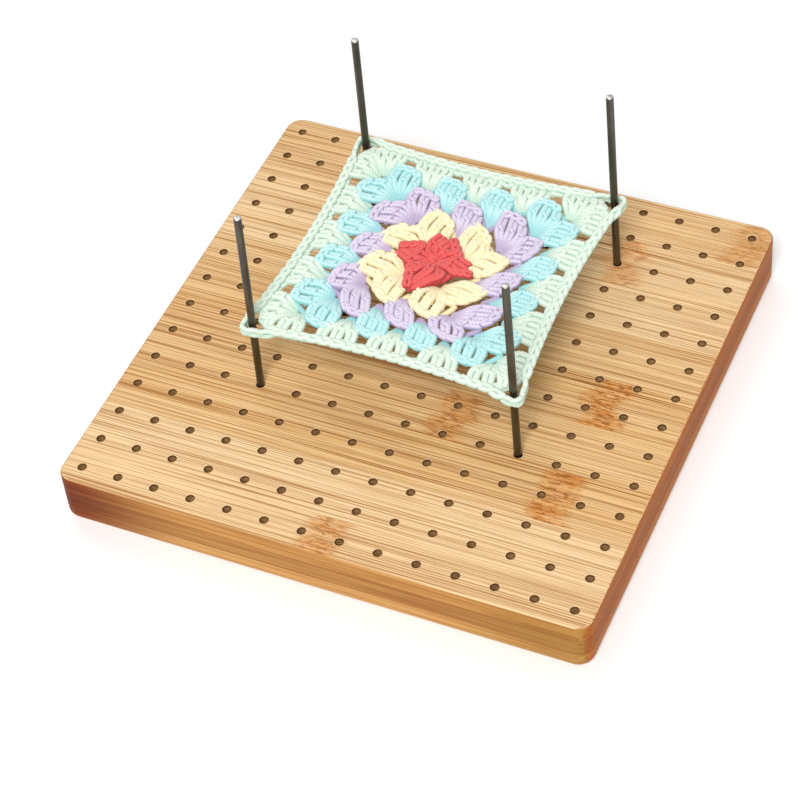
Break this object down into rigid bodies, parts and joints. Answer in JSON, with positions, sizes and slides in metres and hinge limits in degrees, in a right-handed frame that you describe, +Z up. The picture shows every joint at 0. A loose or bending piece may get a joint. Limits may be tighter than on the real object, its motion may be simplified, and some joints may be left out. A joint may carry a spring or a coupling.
{
  "type": "crochet blocking board",
  "caption": "Square laminated bamboo board with a grid of peg holes and removable steel pegs that hold a crocheted granny square stretched flat.",
  "frame": {"origin": "on the underside, in the middle of the board", "axes": "+Z up, +X to the right along the bamboo's grain, +Y to the rear; the granny square is behind the middle"},
  "size_m": [0.2, 0.2, 0.103],
  "materials": {
    "bamboo_face": "fine sanded, satin",
    "bamboo_core": "sanded",
    "bamboo_back": "fine sanded",
    "rod_steel": "drawn rod, cut and chamfered ends",
    "yarn_coral": "plied cotton-blend yarn",
    "yarn_cream": "plied cotton-blend yarn",
    "yarn_lavender": "plied cotton-blend yarn",
    "yarn_aqua": "plied cotton-blend yarn",
    "yarn_mint": "plied cotton-blend yarn"
  },
  "bodies": {
    "board": {"bottom_strip_1": "bamboo_back", "bottom_strip_2": "bamboo_back", "bottom_strip_3": "bamboo_back", "bottom_strip_4": "bamboo_back", "bottom_strip_5": "bamboo_back", "bottom_strip_6": "bamboo_back", "bottom_strip_7": "bamboo_back", "bottom_strip_8": "bamboo_back", "bottom_strip_9": "bamboo_back", "core_strip_1": "bamboo_core", "core_strip_2": "bamboo_core", "core_strip_3": "bamboo_core", "core_strip_4": "bamboo_core", "core_strip_5": "bamboo_core", "core_strip_6": "bamboo_core", "core_strip_7": "bamboo_core", "core_strip_8": "bamboo_core", "core_strip_9": "bamboo_core", "core_strip_10": "bamboo_core", "top_strip_1": "bamboo_face", "top_strip_2": "bamboo_face", "top_strip_3": "bamboo_face", "top_strip_4": "bamboo_face", "top_strip_5": "bamboo_face", "top_strip_6": "bamboo_face", "top_strip_7": "bamboo_face", "top_strip_8": "bamboo_face", "top_strip_9": "bamboo_face"},
    "peg_front_left": {"peg_front_left": "rod_steel"},
    "peg_front_right": {"peg_front_right": "rod_steel"},
    "peg_rear_right": {"peg_rear_right": "rod_steel"},
    "peg_rear_left": {"peg_rear_left": "rod_steel"},
    "granny_square": {"round_1_coral": "yarn_coral", "round_2_cream": "yarn_cream", "round_3_lavender": "yarn_lavender", "round_4_aqua": "yarn_aqua", "round_5_mint": "yarn_mint", "edging_mint": "yarn_mint"}
  },
  "joints": [
    {"name": "peg_front_left_lift", "type": "slide", "parent": "board", "child": "peg_front_left", "axis": [0.0136, 0.0136, 0.9998], "range_m": [0, 0.016]},
    {"name": "peg_front_right_lift", "type": "slide", "parent": "board", "child": "peg_front_right", "axis": [-0.0136, 0.0136, 0.9998], "range_m": [0, 0.016]},
    {"name": "peg_rear_right_lift", "type": "slide", "parent": "board", "child": "peg_rear_right", "axis": [-0.0136, -0.0136, 0.9998], "range_m": [0, 0.016]},
    {"name": "peg_rear_left_lift", "type": "slide", "parent": "board", "child": "peg_rear_left", "axis": [0.0136, -0.0136, 0.9998], "range_m": [0, 0.016]},
    {"name": "square_slide", "type": "slide", "parent": "board", "child": "granny_square", "axis": [0, 0, 1], "range_m": [-0.025, 0.048]}
  ]
}
